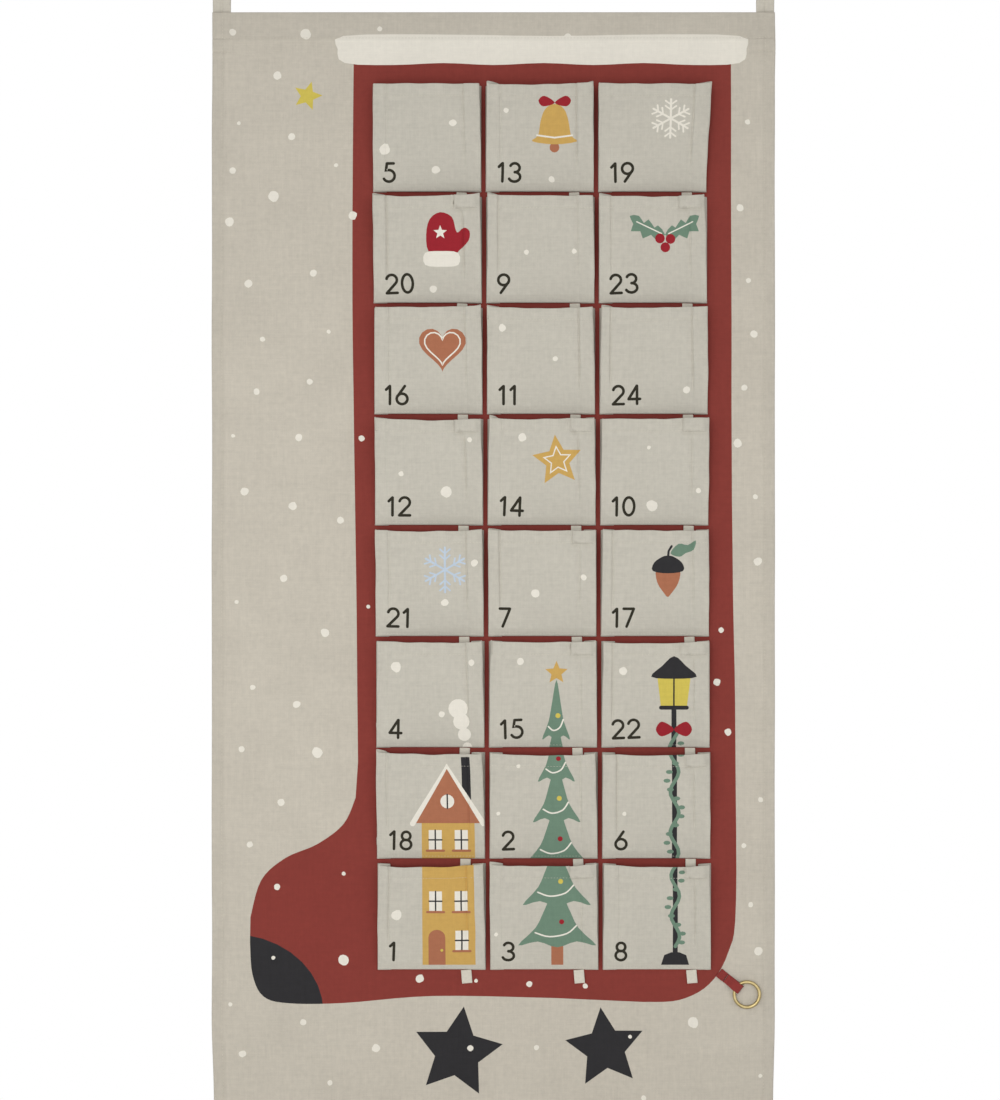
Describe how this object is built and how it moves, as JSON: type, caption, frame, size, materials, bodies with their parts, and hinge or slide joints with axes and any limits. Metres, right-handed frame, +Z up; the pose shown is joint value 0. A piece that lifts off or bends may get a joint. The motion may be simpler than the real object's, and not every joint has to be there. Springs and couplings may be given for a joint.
{
  "type": "fabric advent calendar",
  "caption": "Hanging cloth advent calendar with pleated, numbered pockets, a tape loop under each, two hanging loops and a brass ring on a strap.",
  "frame": {"origin": "midway between the two hanging loops, at the inner top of their folds, on the line of the rod or hooks that carry the calendar", "axes": "+Z up along the hanging panel, -Y out of its front, +X to the right as seen from the front"},
  "size_m": [0.563, 0.0287, 1.1699],
  "materials": {
    "panel_cloth": "natural linen-look canvas, matt, printed on the front",
    "pocket_cloth": "paler natural canvas, matt",
    "tape": "plain woven cotton tape",
    "red_tape": "red woven cotton tape",
    "brass": "polished brass wire ring"
  },
  "bodies": {
    "calendar": {"back_panel": "panel_cloth", "hanging_loop_left": "panel_cloth", "hanging_loop_right": "panel_cloth", "ring_tab": "red_tape", "pocket_05": "pocket_cloth", "pocket_13": "pocket_cloth", "pocket_19": "pocket_cloth", "pocket_20": "pocket_cloth", "pocket_09": "pocket_cloth", "pocket_23": "pocket_cloth", "pocket_16": "pocket_cloth", "pocket_11": "pocket_cloth", "pocket_24": "pocket_cloth", "pocket_12": "pocket_cloth", "pocket_14": "pocket_cloth", "pocket_10": "pocket_cloth", "pocket_21": "pocket_cloth", "pocket_07": "pocket_cloth", "pocket_17": "pocket_cloth", "pocket_04": "pocket_cloth", "pocket_15": "pocket_cloth", "pocket_22": "pocket_cloth", "pocket_18": "pocket_cloth", "pocket_02": "pocket_cloth", "pocket_06": "pocket_cloth", "pocket_01": "pocket_cloth", "pocket_03": "pocket_cloth", "pocket_08": "pocket_cloth"},
    "loop_05": {"pocket_loop_05": "tape"},
    "loop_13": {"pocket_loop_13": "tape"},
    "loop_19": {"pocket_loop_19": "tape"},
    "loop_20": {"pocket_loop_20": "tape"},
    "loop_09": {"pocket_loop_09": "tape"},
    "loop_23": {"pocket_loop_23": "tape"},
    "loop_16": {"pocket_loop_16": "tape"},
    "loop_11": {"pocket_loop_11": "tape"},
    "loop_24": {"pocket_loop_24": "tape"},
    "loop_12": {"pocket_loop_12": "tape"},
    "loop_14": {"pocket_loop_14": "tape"},
    "loop_10": {"pocket_loop_10": "tape"},
    "loop_21": {"pocket_loop_21": "tape"},
    "loop_07": {"pocket_loop_07": "tape"},
    "loop_17": {"pocket_loop_17": "tape"},
    "loop_04": {"pocket_loop_04": "tape"},
    "loop_15": {"pocket_loop_15": "tape"},
    "loop_22": {"pocket_loop_22": "tape"},
    "loop_18": {"pocket_loop_18": "tape"},
    "loop_02": {"pocket_loop_02": "tape"},
    "loop_06": {"pocket_loop_06": "tape"},
    "loop_01": {"pocket_loop_01": "tape"},
    "loop_03": {"pocket_loop_03": "tape"},
    "loop_08": {"pocket_loop_08": "tape"},
    "ring_strap": {"ring_strap": "red_tape"},
    "ring": {"brass_ring": "brass"}
  },
  "joints": [
    {"name": "loop_05_swing", "type": "hinge", "parent": "calendar", "child": "loop_05", "pos_m": [-0.0318, -0.0048, -0.2259], "axis": [-1, 0, 0], "range_deg": [0, 85]},
    {"name": "loop_13_swing", "type": "hinge", "parent": "calendar", "child": "loop_13", "pos_m": [0.0807, -0.0048, -0.2259], "axis": [-1, 0, 0], "range_deg": [0, 85]},
    {"name": "loop_19_swing", "type": "hinge", "parent": "calendar", "child": "loop_19", "pos_m": [0.1932, -0.0048, -0.2259], "axis": [-1, 0, 0], "range_deg": [0, 85]},
    {"name": "loop_20_swing", "type": "hinge", "parent": "calendar", "child": "loop_20", "pos_m": [-0.03115, -0.0048, -0.3369], "axis": [-1, 0, 0], "range_deg": [0, 85]},
    {"name": "loop_09_swing", "type": "hinge", "parent": "calendar", "child": "loop_09", "pos_m": [0.08135, -0.0048, -0.3369], "axis": [-1, 0, 0], "range_deg": [0, 85]},
    {"name": "loop_23_swing", "type": "hinge", "parent": "calendar", "child": "loop_23", "pos_m": [0.19385, -0.0048, -0.3369], "axis": [-1, 0, 0], "range_deg": [0, 85]},
    {"name": "loop_16_swing", "type": "hinge", "parent": "calendar", "child": "loop_16", "pos_m": [-0.0305, -0.0048, -0.4479], "axis": [-1, 0, 0], "range_deg": [0, 85]},
    {"name": "loop_11_swing", "type": "hinge", "parent": "calendar", "child": "loop_11", "pos_m": [0.082, -0.0048, -0.4479], "axis": [-1, 0, 0], "range_deg": [0, 85]},
    {"name": "loop_24_swing", "type": "hinge", "parent": "calendar", "child": "loop_24", "pos_m": [0.1945, -0.0048, -0.4479], "axis": [-1, 0, 0], "range_deg": [0, 85]},
    {"name": "loop_12_swing", "type": "hinge", "parent": "calendar", "child": "loop_12", "pos_m": [-0.02985, -0.0048, -0.5589], "axis": [-1, 0, 0], "range_deg": [0, 85]},
    {"name": "loop_14_swing", "type": "hinge", "parent": "calendar", "child": "loop_14", "pos_m": [0.08265, -0.0048, -0.5589], "axis": [-1, 0, 0], "range_deg": [0, 85]},
    {"name": "loop_10_swing", "type": "hinge", "parent": "calendar", "child": "loop_10", "pos_m": [0.19515, -0.0048, -0.5589], "axis": [-1, 0, 0], "range_deg": [0, 85]},
    {"name": "loop_21_swing", "type": "hinge", "parent": "calendar", "child": "loop_21", "pos_m": [-0.0292, -0.0048, -0.6699], "axis": [-1, 0, 0], "range_deg": [0, 85]},
    {"name": "loop_07_swing", "type": "hinge", "parent": "calendar", "child": "loop_07", "pos_m": [0.0833, -0.0048, -0.6699], "axis": [-1, 0, 0], "range_deg": [0, 85]},
    {"name": "loop_17_swing", "type": "hinge", "parent": "calendar", "child": "loop_17", "pos_m": [0.1958, -0.0048, -0.6699], "axis": [-1, 0, 0], "range_deg": [0, 85]},
    {"name": "loop_04_swing", "type": "hinge", "parent": "calendar", "child": "loop_04", "pos_m": [-0.02855, -0.0048, -0.7809], "axis": [-1, 0, 0], "range_deg": [0, 85]},
    {"name": "loop_15_swing", "type": "hinge", "parent": "calendar", "child": "loop_15", "pos_m": [0.08395, -0.0048, -0.7809], "axis": [-1, 0, 0], "range_deg": [0, 85]},
    {"name": "loop_22_swing", "type": "hinge", "parent": "calendar", "child": "loop_22", "pos_m": [0.19645, -0.0048, -0.7809], "axis": [-1, 0, 0], "range_deg": [0, 85]},
    {"name": "loop_18_swing", "type": "hinge", "parent": "calendar", "child": "loop_18", "pos_m": [-0.0279, -0.0048, -0.8919], "axis": [-1, 0, 0], "range_deg": [0, 85]},
    {"name": "loop_02_swing", "type": "hinge", "parent": "calendar", "child": "loop_02", "pos_m": [0.0846, -0.0048, -0.8919], "axis": [-1, 0, 0], "range_deg": [0, 85]},
    {"name": "loop_06_swing", "type": "hinge", "parent": "calendar", "child": "loop_06", "pos_m": [0.1971, -0.0048, -0.8919], "axis": [-1, 0, 0], "range_deg": [0, 85]},
    {"name": "loop_01_swing", "type": "hinge", "parent": "calendar", "child": "loop_01", "pos_m": [-0.02725, -0.0048, -1.0029], "axis": [-1, 0, 0], "range_deg": [0, 85]},
    {"name": "loop_03_swing", "type": "hinge", "parent": "calendar", "child": "loop_03", "pos_m": [0.08525, -0.0048, -1.0029], "axis": [-1, 0, 0], "range_deg": [0, 85]},
    {"name": "loop_08_swing", "type": "hinge", "parent": "calendar", "child": "loop_08", "pos_m": [0.19775, -0.0048, -1.0029], "axis": [-1, 0, 0], "range_deg": [0, 85]},
    {"name": "ring_strap_lift", "type": "hinge", "parent": "calendar", "child": "ring_strap", "pos_m": [0.2325, -0.0048, -1.011], "axis": [-0.6157, 0, -0.788], "range_deg": [0, 90]},
    {"name": "ring_swing", "type": "hinge", "parent": "ring_strap", "child": "ring", "pos_m": [0.24314, -0.0068, -1.01931], "axis": [-0.6157, 0, -0.788], "range_deg": [0, 90]}
  ]
}
